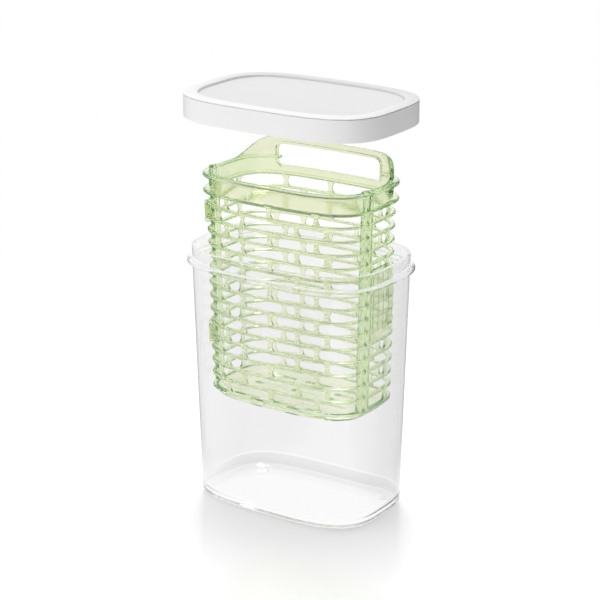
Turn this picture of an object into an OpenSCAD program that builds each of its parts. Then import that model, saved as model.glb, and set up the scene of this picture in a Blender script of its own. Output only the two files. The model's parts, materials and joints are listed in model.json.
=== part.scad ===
// Herb keeper: a clear upright container, a two-part slotted basket with a handle, and a lid.
// Millimetres, +Z up. The origin is the middle of the base, on the plane that the feet stand on.
// The parts are drawn as the keeper is shown: basket half raised, lid held above it.

/* [Container] */
// outside length of the neck
neck_length = 150; // [120:1:180]
// outside depth of the neck
neck_depth = 101.5; // [80:0.5:125]
// height of the rim above the table
container_height = 189.5; // [150:0.5:230]
// how far each side leans out from base to rim
container_lean = 4.5; // [1:0.1:7]
// thickness of the container wall
container_wall = 2; // [1.4:0.1:3]
// thickness of the container floor
container_floor = 2.2; // [1.4:0.1:3.5]
// width of the shallow curve between the floor and the wall
base_curve_width = 13.5; // [8:0.5:18]
// rise of that curve on the outside
base_curve_rise = 5; // [3:0.5:8]
// how far the flange stands out from the neck
flange_reach = 3.2; // [2:0.1:5]
// thickness of the flange
flange_thickness = 3; // [2:0.1:4]
// height of the neck above the flange
neck_height = 9.5; // [6:0.5:14]
// height of the four feet
foot_height = 0.8; // [0.4:0.1:1.5]
// radius of each foot
foot_radius = 2.6; // [1.5:0.1:4]

/* [Basket] */
// gap between the top rib and the neck, each side
basket_clearance = 7.3; // [6:0.1:12]
// height of the basket wall, without the handle
basket_height = 163.5; // [130:0.1:190]
// how far each side leans out from the lowest rib to the top rib
basket_lean = 3.3; // [2:0.1:6]
// thickness of the basket wall
basket_wall = 1.8; // [1.4:0.1:2.4]
// how far the two ribs of the band stand out from the wall
band_reach = 3.6; // [3:0.1:5]
// how far the ribs below the band stand out from the wall
rib_reach = 1.8; // [1.2:0.1:2.8]
// thickness of the ribs
rib_thickness = 1.8; // [1.2:0.1:2.4]
// number of rows of openings
row_count = 15; // [9:1:18]
// height of the closed band at the top
band_height = 14.4; // [10:0.1:20]
// height of the lowest rib above the underside
lowest_rib = 6; // [4.5:0.1:8]
// width of a bar between two openings, at its waist
bar_waist = 3.2; // [2:0.1:5]
// width of a bar where it meets the ribs
bar_foot = 6.2; // [4:0.1:8]
// where the two halves meet, measured from the middle of the depth
seam_offset = -14; // [-18:0.5:-8]
// width of the upright post each side of the seam
post_width = 4.6; // [3:0.1:7]
// width of a slot in the basket floor
floor_slot = 4; // [2:0.5:6]

/* [Handle] */
// height of the handle above the basket wall
handle_height = 14; // [8:0.5:20]
// length of the flat top of the handle
handle_length = 80; // [70:1:96]
// length of the finger slot
slot_length = 86; // [60:1:94]
// height of the finger slot
slot_height = 15.5; // [10:0.5:20]
// thickness of the bar over the finger slot
handle_bar = 5.5; // [3:0.5:8]
// width of the raised rim around the slot
slot_rim = 1.8; // [1:0.1:3]

/* [Hinge and latch] */
// radius of the hinge knuckles
knuckle_radius = 2.3; // [2.1:0.1:2.8]
// radius of the hinge pins
pin_radius = 1.2; // [0.8:0.1:1.4]
// length of each hinge, lugs included
hinge_length = 15.5; // [12:0.5:22]
// thickness of a hinge lug
lug_thickness = 2.4; // [1.5:0.1:3.5]
// height of the latch plate
latch_height = 51; // [30:1:70]
// width of the latch plate
latch_width = 31; // [20:1:36]
// thickness of the latch plate
latch_thickness = 1.6; // [1.2:0.1:2]

/* [Lid] */
// how far the lid stands out past the flange
lid_overhang = 0.5; // [0:0.1:2]
// height of the lid skirt
skirt_height = 14; // [8:0.5:20]
// thickness of the lid
lid_wall = 1.8; // [1.4:0.1:2.6]
// rise of the rounded border above the skirt
border_rise = 3.2; // [1.5:0.1:5]
// width of the rounded border
border_width = 9.5; // [6:0.5:16]
// depth of the sunken panel below the border
panel_depth = 1.8; // [1:0.1:2.6]

/* [Pose] */
// how far the basket is drawn up from the container floor
basket_raise = 75.8; // [0:0.1:200]
// how far the lid is held above its closed place, over and above the basket
lid_raise = 26; // [0:0.1:60]

/* [Fit] */
// gap left between parts that slide or turn against each other
fit_gap = 0.3; // [0.2:0.05:0.6]
// squareness of every outline in plan, 2 for an ellipse
squareness = 3.5; // [2.5:0.1:5]

/* [Hidden] */
segments = 64;
$fn = 48;
overlap = 0.4;

// container
neck_a = neck_length / 2;
neck_b = neck_depth / 2;
flange_top = container_height - neck_height;
flange_bottom = flange_top - flange_thickness;
floor_under = foot_height;
floor_top = floor_under + container_floor;
curve_top = floor_under + base_curve_rise;
foot_x = neck_a - container_lean - base_curve_width - 2 * foot_radius - 2;
foot_y = neck_b - container_lean - base_curve_width - foot_radius;

// basket, in its own frame with the underside at zero
rib_a = neck_a - basket_clearance;
rib_b = neck_b - basket_clearance;
top_rib = basket_height - 2;
band_rib = basket_height - band_height + rib_thickness / 2;
rib_pitch = (band_rib - lowest_rib) / row_count;
row_gap = rib_pitch - rib_thickness;
lean_slope = basket_lean / (top_rib - lowest_rib);
lean_angle = atan(lean_slope);
wall_inset = band_reach;
inner_inset = band_reach + basket_wall;
rib_inset = band_reach - rib_reach;
basket_z = floor_top + fit_gap + basket_raise;
pan_edge = 5;
bar_overlap = 0.5;
bar_sink = 0.25;
bar_thickness = basket_wall - 2 * bar_sink;

// handle
handle_top = basket_height + handle_height;
slot_top = handle_top - handle_bar;
slot_bottom = slot_top - slot_height;
slot_corner = 4;
shoulder_end = rib_a - inner_inset - 0.4;
shoulder_bend = 4.5;
rim_lift = 0.7;

// hinge and latch
hinge_levels = [0.254 * basket_height, 0.798 * basket_height];
hinge_y = seam_offset - 2;
hinge_out = 0.6 * knuckle_radius;
lug_length = hinge_out + rib_inset + 1.3;
lug_depth = knuckle_radius + 1;
latch_middle = 0.5 * basket_height;
latch_cover = 0.3;
grip_count = 3;
grip_radius = 0.9;

// lid
lid_a = neck_a + flange_reach + lid_overhang;
lid_b = neck_b + flange_reach + lid_overhang;
lid_closed = flange_top + fit_gap;
lid_z = lid_closed + basket_raise + lid_raise;
skirt_inset = flange_reach + lid_overhang - 2 * fit_gap;
panel_top = skirt_height + border_rise - panel_depth;

// which bars stand in a row: rows take turns between two patterns
bar_span = rib_a - wall_inset;
bars_even = [for (part = [-0.58, 0, 0.58]) part * bar_span];
bars_odd = [for (part = [-0.69, -0.35, 0.35, 0.69]) part * bar_span];
end_bar_y = 0.33 * rib_b;

// slots in the basket floor
slot_rows_front = [seam_offset - 16, seam_offset - 8];
slot_rows_back = [seam_offset + 9, seam_offset + 19, seam_offset + 29, seam_offset + 39];
slot_step = 0.45 * rib_a;
slot_span = 0.33 * rib_a;

// one point of the outline at half length a and half depth b
function outline_point(a, b, t) = [
    a * sign(cos(t)) * pow(abs(cos(t)), 2 / squareness),
    b * sign(sin(t)) * pow(abs(sin(t)), 2 / squareness)
];

// the whole outline, anticlockwise
function outline(a, b) = [
    for (i = [0:segments - 1]) outline_point(a, b, 360 * i / segments)
];

// depth of the outline at a place along its length
function depth_at(x, a, b) = b * pow(1 - pow(abs(x) / a, squareness), 1 / squareness);

// length of the outline at a place along its depth
function length_at(y, a, b) = depth_at(y, b, a);

// direction that the outline faces at a point
function facing(x, y, a, b) = atan2(
    sign(y) * pow(abs(y) / b, squareness - 1) / b,
    sign(x) * pow(abs(x) / a, squareness - 1) / a
);

// how far the lean has drawn the basket in at a height
function inset_at(z) = (top_rib - z) * lean_slope;

// height of the middle of a rib, counted down from the band
function rib_z(i) = band_rib - i * rib_pitch;

// solid through a stack of outlines, each given as half length, half depth, height
module loft(rings) {
    last = len(rings) - 1;
    points = [
        for (r = rings) for (p = outline(r[0], r[1])) [p[0], p[1], r[2]]
    ];
    sides = [
        for (r = [0:last - 1]) for (k = [0:segments - 1])
            let (n = (k + 1) % segments, u = r * segments, v = u + segments)
                [u + k, v + k, v + n, u + n]
    ];
    floor_cap = [for (k = [0:segments - 1]) k];
    top_cap = [for (k = [segments - 1:-1:0]) last * segments + k];
    polyhedron(points = points, faces = concat([floor_cap], sides, [top_cap]));
}

// one ring of the container: inset from the wall line at a height
function wall_ring(inset, z) = let (lean = container_lean * (1 - z / container_height))
    [neck_a - lean - inset, neck_b - lean - inset, z];

module container() {
    rise = base_curve_rise;
    color([0.93, 0.95, 0.96, 0.35]) {
        loft([
            wall_ring(base_curve_width, floor_under),
            wall_ring(base_curve_width * 0.55, floor_under + rise * 0.08),
            wall_ring(base_curve_width * 0.25, floor_under + rise * 0.25),
            wall_ring(base_curve_width * 0.07, floor_under + rise * 0.55),
            wall_ring(0, curve_top),
            wall_ring(0, flange_bottom - 1),
            wall_ring(-flange_reach * 0.75, flange_bottom),
            wall_ring(-flange_reach, flange_bottom + flange_thickness * 0.3),
            wall_ring(-flange_reach, flange_top - flange_thickness * 0.3),
            wall_ring(-flange_reach * 0.8, flange_top),
            wall_ring(0, flange_top),
            wall_ring(0, container_height - 0.6),
            wall_ring(0.6, container_height),
            wall_ring(container_wall - 0.6, container_height),
            wall_ring(container_wall, container_height - 0.6),
            wall_ring(container_wall, floor_top + rise + 4),
            wall_ring(container_wall + base_curve_width * 0.08, floor_top + rise * 0.75),
            wall_ring(container_wall + base_curve_width * 0.28, floor_top + rise * 0.3),
            wall_ring(container_wall + base_curve_width * 0.55, floor_top + rise * 0.08),
            wall_ring(container_wall + base_curve_width, floor_top)
        ]);
        for (sx = [-1, 1], sy = [-1, 1])
            translate([sx * foot_x, sy * foot_y, 0])
                cylinder(r = foot_radius, h = foot_height + overlap);
    }
}

// keeps the part of a plan shape in front of the seam or behind it
module half_plan(front) {
    reach = neck_length;
    intersection() {
        children();
        translate([-reach, front ? seam_offset - 2 * reach : seam_offset])
            square([2 * reach, 2 * reach]);
    }
}

// plan of a band between two insets from the rib line, at a height in the basket
module basket_plan(z, outer, inner) {
    lean = inset_at(z);
    difference() {
        polygon(outline(rib_a - lean - outer, rib_b - lean - outer));
        polygon(outline(rib_a - lean - inner, rib_b - lean - inner));
    }
}

// one rib all the way round a half, its tip at an inset from the line of the band's ribs
module rib(z, tip, front) {
    translate([0, 0, z - rib_thickness / 2])
        linear_extrude(rib_thickness)
            half_plan(front)
                basket_plan(z, tip, inner_inset);
}

// elevation of a waisted bar, with its middle at the origin
module bar_profile() {
    half = row_gap / 2 + bar_overlap;
    sag = (bar_foot - bar_waist) / 2;
    bend = (half * half + sag * sag) / (2 * sag);
    difference() {
        translate([-bar_foot / 2, -half])
            square([bar_foot, 2 * half]);
        for (s = [-1, 1])
            translate([s * (bar_waist / 2 + bend), 0])
                circle(r = bend);
    }
}

// a waisted bar standing in the wall at a point of the wall line
module bar(x, y, z, a, b) {
    translate([x, y, z])
        rotate([0, 0, facing(x, y, a, b) + 90])
            translate([0, basket_wall - bar_sink, 0])
                rotate([90, 0, 0])
                    linear_extrude(bar_thickness)
                        bar_profile();
}

// the bars of one row of openings
module row_bars(row, front) {
    z = (rib_z(row) + rib_z(row + 1)) / 2;
    a = rib_a - inset_at(z) - wall_inset;
    b = rib_b - inset_at(z) - wall_inset;
    side = front ? -1 : 1;
    for (x = row % 2 == 0 ? bars_even : bars_odd)
        bar(x, side * depth_at(x, a, b), z, a, b);
    if (!front && row % 2 == 0)
        for (s = [-1, 1])
            bar(s * length_at(end_bar_y, a, b), end_bar_y, z, a, b);
}

// upright posts beside the seam, one step to each row so that they follow the lean, and one to the band
module posts(front) {
    for (row = [-1:row_count - 1]) {
        z = rib_z(row + 1);
        translate([0, 0, z])
            linear_extrude(row < 0 ? basket_height - z : rib_pitch)
                intersection() {
                    half_plan(front)
                        basket_plan(z, rib_inset, inner_inset);
                    translate([-neck_a, front ? seam_offset - post_width : seam_offset])
                        square([neck_length, post_width]);
                }
    }
}

// closed band at the top with its two ribs
module band(front) {
    bottom = band_rib - rib_thickness / 2;
    translate([0, 0, bottom])
        linear_extrude(basket_height - bottom)
            half_plan(front)
                basket_plan(top_rib, wall_inset, inner_inset);
    rib(top_rib, 0, front);
    rib(band_rib, 0, front);
}

// floor of a half: a shallow pan with a curved edge and rows of slots
module pan(front) {
    a = rib_a - inset_at(lowest_rib) - wall_inset;
    b = rib_b - inset_at(lowest_rib) - wall_inset;
    reach = neck_length;
    difference() {
        loft([
            [a - pan_edge, b - pan_edge, 0],
            [a - pan_edge * 0.45, b - pan_edge * 0.45, lowest_rib * 0.16],
            [a - pan_edge * 0.12, b - pan_edge * 0.12, lowest_rib * 0.5],
            [a, b, lowest_rib]
        ]);
        translate([0, 0, basket_wall])
            linear_extrude(lowest_rib)
                polygon(outline(a - pan_edge * 0.6, b - pan_edge * 0.6));
        translate([-reach, front ? seam_offset : seam_offset - 2 * reach, -1])
            cube([2 * reach, 2 * reach, lowest_rib + 2]);
        for (y = front ? slot_rows_front : slot_rows_back, x = [-slot_step, 0, slot_step])
            translate([x, y, basket_wall / 2])
                cube([slot_span, floor_slot, 2 * basket_wall], center = true);
    }
}

// everything that the two halves have in common
module half_shell(front) {
    band(front);
    for (row = [1:row_count])
        rib(rib_z(row), rib_inset, front);
    for (row = [0:row_count - 1])
        row_bars(row, front);
    posts(front);
    pan(front);
}

// places a hinge part on the leaning hinge line at a height
module on_hinge(z) {
    translate([-(length_at(hinge_y, rib_a, rib_b) - inset_at(z)) - hinge_out, hinge_y, z])
        rotate([0, -lean_angle, 0])
            children();
}

// hinge knuckle on the front half, turning round the pin
module knuckle() {
    length = hinge_length - 2 * lug_thickness - 2 * fit_gap;
    difference() {
        union() {
            cylinder(r = knuckle_radius, h = length, center = true);
            translate([0, -lug_depth, -length / 2])
                cube([lug_length, lug_depth, length]);
        }
        cylinder(r = pin_radius + fit_gap, h = hinge_length, center = true);
    }
}

// hinge pin and its two lugs on the back half, grown by a margin
module pin_and_lugs(margin) {
    thick = lug_thickness + 2 * margin;
    cylinder(r = pin_radius + margin, h = hinge_length - lug_thickness, center = true);
    for (s = [-1, 1])
        translate([0, 0, s * (hinge_length - lug_thickness) / 2]) {
            cylinder(r = knuckle_radius + margin, h = thick, center = true);
            translate([0, 0, -thick / 2])
                cube([lug_length + margin, post_width, thick]);
        }
}

// room that the knuckle turns in, around the pin
module knuckle_room() {
    difference() {
        cylinder(r = knuckle_radius + fit_gap, h = hinge_length - 2 * lug_thickness, center = true);
        cylinder(r = pin_radius, h = hinge_length, center = true);
    }
}

module basket_front() {
    color([0.80, 0.88, 0.60, 0.7])
        translate([0, 0, basket_z]) {
            difference() {
                half_shell(true);
                for (z = hinge_levels)
                    on_hinge(z)
                        pin_and_lugs(fit_gap);
            }
            for (z = hinge_levels)
                on_hinge(z)
                    knuckle();
        }
}

// outline of the handle seen from behind, from the band up to the bar
module handle_elevation() {
    foot = basket_height - 2 * overlap;
    flat = handle_length / 2;
    steps = 10;
    right = [
        for (i = [0:steps]) let (u = sin(90 * i / steps))
            [flat + (shoulder_end - flat) * u, handle_top - handle_height * pow(u, shoulder_bend)]
    ];
    left = [for (p = right) [-p[0], p[1]]];
    polygon(concat(
        [[-shoulder_end, foot], [shoulder_end, foot]],
        [for (i = [steps:-1:0]) right[i]],
        left
    ));
}

// finger slot seen from behind, grown by a margin
module slot_elevation(margin) {
    corner = slot_corner + margin;
    wide = slot_length + 2 * margin;
    tall = slot_height + 2 * margin;
    translate([-wide / 2, slot_bottom - margin]) {
        translate([corner, 0])
            square([wide - 2 * corner, tall]);
        translate([0, corner])
            square([wide, tall - 2 * corner]);
        for (x = [corner, wide - corner], y = [corner, tall - corner])
            translate([x, y])
                circle(r = corner);
    }
}

// carries an elevation seen from behind through the back wall
module through_back() {
    rotate([90, 0, 0])
        mirror([0, 0, 1])
            linear_extrude(neck_b)
                children();
}

module basket_back() {
    color([0.78, 0.87, 0.56, 0.7])
        translate([0, 0, basket_z])
            difference() {
                union() {
                    half_shell(false);
                    handle();
                    latch();
                    for (z = hinge_levels)
                        on_hinge(z)
                            pin_and_lugs(0);
                }
                through_back()
                    slot_elevation(0);
                for (z = hinge_levels)
                    on_hinge(z)
                        knuckle_room();
            }
}

// back wall carried up into a handle, with a raised rim around the slot
module handle() {
    intersection() {
        translate([0, 0, basket_height - 2 * overlap])
            linear_extrude(handle_height + 2 * overlap)
                half_plan(false)
                    basket_plan(top_rib, wall_inset, inner_inset);
        through_back()
            handle_elevation();
    }
    intersection() {
        translate([0, 0, slot_bottom - slot_rim])
            linear_extrude(slot_height + 2 * slot_rim)
                half_plan(false)
                    basket_plan(top_rib, wall_inset - rim_lift, inner_inset + rim_lift);
        through_back()
            slot_elevation(slot_rim);
    }
}

// flat plate with upright grips at the end away from the hinge
module latch() {
    x = rib_a - rib_inset - inset_at(latch_middle) + latch_cover;
    translate([x, seam_offset, latch_middle])
        rotate([0, lean_angle, 0])
            translate([-latch_thickness, 0, -latch_height / 2]) {
                cube([latch_thickness, latch_width, latch_height]);
                for (i = [0:grip_count - 1])
                    translate([latch_thickness - 0.3, latch_width * (i + 0.7) / (grip_count + 0.4), 3])
                        cylinder(r = grip_radius, h = latch_height - 6);
            }
}

// one ring of the lid: inset from its outer edge at a height above the skirt's lower edge
function lid_ring(inset, z) = [lid_a - inset, lid_b - inset, z];

module lid() {
    crown = skirt_height + border_rise;
    color([0.97, 0.97, 0.97])
        translate([0, 0, lid_z])
            loft([
                lid_ring(skirt_inset + 2.5, panel_top - lid_wall),
                lid_ring(skirt_inset, panel_top - lid_wall - 1.5),
                lid_ring(skirt_inset, 0.4),
                lid_ring(skirt_inset - 0.4, 0),
                lid_ring(0.5, 0),
                lid_ring(0, 0.5),
                lid_ring(0, skirt_height - 0.4),
                lid_ring(0.4, skirt_height),
                lid_ring(0.9, skirt_height + border_rise * 0.35),
                lid_ring(1.8, skirt_height + border_rise * 0.72),
                lid_ring(3.4, crown - border_rise * 0.06),
                lid_ring(5.2, crown),
                lid_ring(border_width - 1.6, crown - panel_depth * 0.08),
                lid_ring(border_width - 0.8, crown - panel_depth * 0.35),
                lid_ring(border_width - 0.3, panel_top + panel_depth * 0.15),
                lid_ring(border_width + 0.3, panel_top)
            ]);
}

container();
basket_front();
basket_back();
lid();
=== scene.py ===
# %% [markdown]
# # Herb keeper
# A clear upright box, a green see-through basket in two halves and a white push-on lid. The packed
# model fixes every place and size, so it is loaded first and never moved. Each moulding is then
# drawn again as a smooth surface, because see-through plastic shows every facet that an opaque
# part would hide.

# %% Load the frame
import json
import math

import bmesh
import bpy
import numpy as np
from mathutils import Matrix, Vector

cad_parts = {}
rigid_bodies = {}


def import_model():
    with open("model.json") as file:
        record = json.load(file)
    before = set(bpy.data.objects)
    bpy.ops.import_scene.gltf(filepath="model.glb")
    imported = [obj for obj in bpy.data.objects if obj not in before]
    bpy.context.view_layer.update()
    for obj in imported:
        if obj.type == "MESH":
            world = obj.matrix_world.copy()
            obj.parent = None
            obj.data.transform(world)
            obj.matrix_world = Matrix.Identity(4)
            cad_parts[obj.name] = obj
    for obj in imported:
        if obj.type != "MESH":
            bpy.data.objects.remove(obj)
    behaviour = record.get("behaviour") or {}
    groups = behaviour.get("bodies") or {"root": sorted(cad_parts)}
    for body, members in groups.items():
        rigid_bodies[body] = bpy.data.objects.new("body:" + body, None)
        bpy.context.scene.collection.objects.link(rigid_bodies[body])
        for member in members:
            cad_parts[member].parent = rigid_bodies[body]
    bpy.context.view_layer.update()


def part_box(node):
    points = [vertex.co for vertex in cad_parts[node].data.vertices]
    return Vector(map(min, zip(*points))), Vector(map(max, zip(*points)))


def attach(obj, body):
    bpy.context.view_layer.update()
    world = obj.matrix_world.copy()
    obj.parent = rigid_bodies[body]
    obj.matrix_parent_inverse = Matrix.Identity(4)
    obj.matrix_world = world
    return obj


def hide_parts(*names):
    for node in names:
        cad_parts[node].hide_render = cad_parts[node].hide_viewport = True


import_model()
MM = 0.001


def box_mm(node):
    """Lowest and highest corner of a CAD node, in millimetres."""
    return [np.array(corner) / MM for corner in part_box(node)]


container_high = box_mm("container")[1]
front_low, front_high = box_mm("basket_front")
back_high = box_mm("basket_back")[1]
lid_low, lid_high = box_mm("lid")

# %% [markdown]
# ## One outline for everything
# Seen from above, the box, the basket and the lid share one rounded outline. It could be drawn as
# four lines and four arcs, but the real sides bow a little all the way along. A superellipse does
# that with one formula, and smaller copies of it nest inside each other.

# %% The outline
SQUARENESS = 3.5
FINE_STEPS = 6000


def superellipse(a, b, t):
    """Plan outline: half length and half depth times the cosine and sine of the angle,
    each with its sign kept and its size raised to 2 / squareness."""
    c, s = np.cos(t), np.sin(t)
    power = 2 / SQUARENESS
    return a * np.sign(c) * np.abs(c) ** power, b * np.sign(s) * np.abs(s) ** power


def length_at(y, a, b):
    """Half length of the outline at a depth: a times (1 - (y / b)^n)^(1 / n)."""
    return a * np.clip(1 - np.abs(y / b) ** SQUARENESS, 0, 1) ** (1 / SQUARENESS)


def even_angles(a, b, first, last, count):
    """Angles that share out both the length and the bend of the outline evenly:
    the two are added along a fine outline, and the sum is inverted by interpolation."""
    t = np.linspace(first, last, FINE_STEPS + 1)
    x, y = superellipse(a, b, t)
    dx, dy = np.diff(x), np.diff(y)
    length = np.hypot(dx, dy)
    bend = np.abs(np.diff(np.unwrap(np.arctan2(dy, dx)), prepend=np.arctan2(dy[0], dx[0])))
    share = length / length.sum() + bend / bend.sum()
    sums = np.concatenate([[0], np.cumsum(share)])
    return np.interp(np.linspace(0, sums[-1], count), sums, t)


FLANGE_REACH = 3.2
LID_OVERHANG = 0.5
neck_a, neck_b = lid_high[:2] - FLANGE_REACH - LID_OVERHANG
print(f"neck {2 * neck_a:.1f} by {2 * neck_b:.1f} mm outside")

# %% [markdown]
# ## Skins over grids of points
# Every surface below is a grid: rows of rings, each ring a row of points. One function turns such a
# grid into a closed mesh, and another melts several closed meshes into one. See-through plastic
# needs that: where two closed shapes only overlap, light would bend again at the buried faces.

# %% From grids to meshes


def skin(name, grid, wrap_rows=False):
    """Closed mesh over a grid whose last axes are row, column and x, y, z in millimetres.
    A leading axis counts separate shells. Columns wrap round. Rows wrap too if asked,
    and otherwise a flat face closes the first row and the last."""
    grid = np.asarray(grid, float)
    grid = grid.reshape(-1, *grid.shape[-3:])
    index = np.arange(grid[..., 0].size).reshape(grid.shape[:3])
    beside = np.roll(index, -1, axis=2)
    quads = np.stack([index, beside, np.roll(beside, -1, axis=1), np.roll(index, -1, axis=1)], axis=-1)
    if wrap_rows:
        faces = quads.reshape(-1, 4).tolist()
    else:
        faces = quads[:, :-1].reshape(-1, 4).tolist()
        faces += index[:, 0, ::-1].tolist() + index[:, -1].tolist()
    mesh = bpy.data.meshes.new(name)
    mesh.from_pydata((grid.reshape(-1, 3) * MM).tolist(), [], faces)
    shape = bmesh.new()
    shape.from_mesh(mesh)
    if shape.calc_volume(signed=True) < 0:
        bmesh.ops.reverse_faces(shape, faces=shape.faces[:])
        shape.to_mesh(mesh)
    shape.free()
    return mesh


def melt(name, base, *steps):
    """Base mesh taken through boolean steps, each an operation and the meshes it works with."""
    scene = bpy.context.scene
    target = bpy.data.objects.new(name, base)
    scene.collection.objects.link(target)
    groups = []
    for operation, meshes in steps:
        group = bpy.data.collections.new(operation)
        scene.collection.children.link(group)
        groups.append(group)
        for mesh in meshes:
            group.objects.link(bpy.data.objects.new(mesh.name, mesh))
        step = target.modifiers.new(operation, "BOOLEAN")
        step.operation, step.solver = operation, "MANIFOLD"
        step.operand_type, step.collection = "COLLECTION", group
    graph = bpy.context.evaluated_depsgraph_get()
    result = bpy.data.meshes.new_from_object(target.evaluated_get(graph))
    for group in groups:
        for tool in list(group.objects):
            bpy.data.objects.remove(tool)
        bpy.data.collections.remove(group)
    bpy.data.objects.remove(target)
    result.name = name
    return result


def full_turn(count):
    """Angles of a whole turn in even steps."""
    return np.linspace(0, 2 * np.pi, count, endpoint=False)


def rounded_rectangle(width, height, radius, steps=3):
    """Outline of a rectangle with quarter-circle corners, centred and anticlockwise, as two arrays:
    each corner's centre plus the radius in a direction that turns through a quarter.
    Width and height may be arrays with a last axis of one."""
    turn = np.arange(4)[:, None] * np.pi / 2 + np.linspace(0, np.pi / 2, steps + 1)
    side_x = np.repeat([1, -1, -1, 1], steps + 1)
    side_y = np.repeat([1, 1, -1, -1], steps + 1)
    x = side_x * (width / 2 - radius) + radius * np.cos(turn.ravel())
    y = side_y * (height / 2 - radius) + radius * np.sin(turn.ravel())
    return np.broadcast_arrays(x, y)


def softened(points, reach, steps=6):
    """Line through points with each inner corner swapped for a curve: a quadratic between
    the two places that lie a reach from the corner, one on either side."""
    points = np.asarray(points, float)
    corner = points[1:-1]
    reach = np.asarray(reach, float)[:, None]

    def towards(other):
        away = other - corner
        return corner + away * reach / np.linalg.norm(away, axis=1, keepdims=True)

    u = np.linspace(0, 1, steps + 1)[:, None, None]
    curve = (1 - u) ** 2 * towards(points[:-2]) + 2 * u * (1 - u) * corner + u ** 2 * towards(points[2:])
    return np.vstack([points[:1], curve.swapaxes(0, 1).reshape(-1, 2), points[-1:]])


def loft(name, a, b, z, around):
    """Closed skin through a stack of outlines, each with its half length, half depth and height."""
    x, y = superellipse(np.asarray(a)[:, None], np.asarray(b)[:, None], around)
    return skin(name, np.stack([x, y, np.broadcast_to(np.asarray(z)[:, None], x.shape)], axis=-1))


AROUND_COUNT = 224
around = even_angles(neck_a, neck_b, 0, 2 * np.pi, AROUND_COUNT + 1)[:-1]
print("outline drawn with", AROUND_COUNT, "points")

# %% [markdown]
# ## The clear container
# The box is one moulding: a shallow curved base, walls that lean out a little, a rounded flange for
# the lid to sit on and a short neck above it. It could be a box with bevels, but its wall has to be
# a real wall with an inside and an outside, because that is what makes the grey edges of clear
# plastic. So one profile goes out along the underside, up the outside, over the rim and down the
# inside, and is carried round the outline.

# %% The container's skin
CONTAINER_WALL = 2.0
CONTAINER_LEAN = 4.5
CONTAINER_FLOOR = 2.2
FOOT_HEIGHT = 0.8
FOOT_RADIUS = 2.6
FOOT_MARGIN = 2.0
FOOT_SHARES = np.array([0.8, 0.93, 1.0, 1.0])[:, None]
FOOT_LEVELS = np.array([0.0, 0.1, 0.35, FOOT_HEIGHT + 0.4])[:, None]
FOOT_POINTS = 32
ELLIPSE = 2
BASE_CURVE = (13.5, 5.0)
INNER_CURVE = (13.5, 9.0)
INNER_SQUARENESS = 2.6
NECK_HEIGHT = 9.5
FLANGE_THICKNESS = 3.0
FLANGE_SLOPE = (0.8, 0.2)
LIP_ROUNDING = [0.9, 0.9, 1.0, 0.5, 0.95, 0.95]
container_height = container_high[2]
flange_top = container_height - NECK_HEIGHT
flange_bottom = flange_top - FLANGE_THICKNESS
floor_top = FOOT_HEIGHT + CONTAINER_FLOOR


def base_curve(size, squareness, steps=14):
    """Quarter of a superellipse from the flat floor out to the wall, as inset and rise: each is its
    size times one minus the sine or cosine of the angle, raised to 2 / squareness."""
    turn = np.linspace(0, np.pi / 2, steps + 1)
    return np.stack([
        size[0] * (1 - np.sin(turn) ** (2 / squareness)),
        size[1] * (1 - np.cos(turn) ** (2 / squareness)),
    ], axis=-1)


def container_skin():
    """Profile as inset from the wall line and height, carried round the outline. The wall line
    leans in towards the base in proportion to the distance below the rim."""
    outside = base_curve(BASE_CURVE, ELLIPSE) + [0, FOOT_HEIGHT]
    lip = softened(
        [
            outside[-1], [0, flange_bottom - FLANGE_SLOPE[0]],
            [-FLANGE_REACH, flange_bottom + FLANGE_SLOPE[1]],
            [-FLANGE_REACH, flange_top], [0, flange_top], [0, container_height],
            [CONTAINER_WALL, container_height], [CONTAINER_WALL, floor_top + INNER_CURVE[1]],
        ],
        LIP_ROUNDING,
    )
    inside = base_curve(INNER_CURVE, INNER_SQUARENESS)[::-1] + [CONTAINER_WALL, floor_top]
    inset, z = np.vstack([outside, lip[1:-1], inside]).T
    lean = CONTAINER_LEAN * (1 - z / container_height)
    return loft("container_skin", neck_a - lean - inset, neck_b - lean - inset, z, around)


def foot(x, y):
    """Small round foot with a softened lower edge: rings of growing radius, then straight up."""
    turn = full_turn(FOOT_POINTS)
    radius = FOOT_RADIUS * FOOT_SHARES
    rings = np.broadcast_arrays(x + radius * np.cos(turn), y + radius * np.sin(turn), FOOT_LEVELS)
    return skin("foot", np.stack(rings, axis=-1))


foot_x = neck_a - CONTAINER_LEAN - BASE_CURVE[0] - 2 * FOOT_RADIUS - FOOT_MARGIN
foot_y = neck_b - CONTAINER_LEAN - BASE_CURVE[0] - FOOT_RADIUS
feet = [foot(sx * foot_x, sy * foot_y) for sx in (-1, 1) for sy in (-1, 1)]
container_mesh = melt("clear_container", container_skin(), ("UNION", feet))
print("container", len(container_mesh.polygons), "faces")

# %% [markdown]
# ## The basket's wall
# Each half of the basket is a wall of thin ribs, joined by short waisted bars like the leads of a
# window. All of it follows the same leaning outline, cut off at the seam where the halves meet.
# A small helper carries any profile round one half, so ribs and the closed band at the top are the
# same operation with other numbers.

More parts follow.
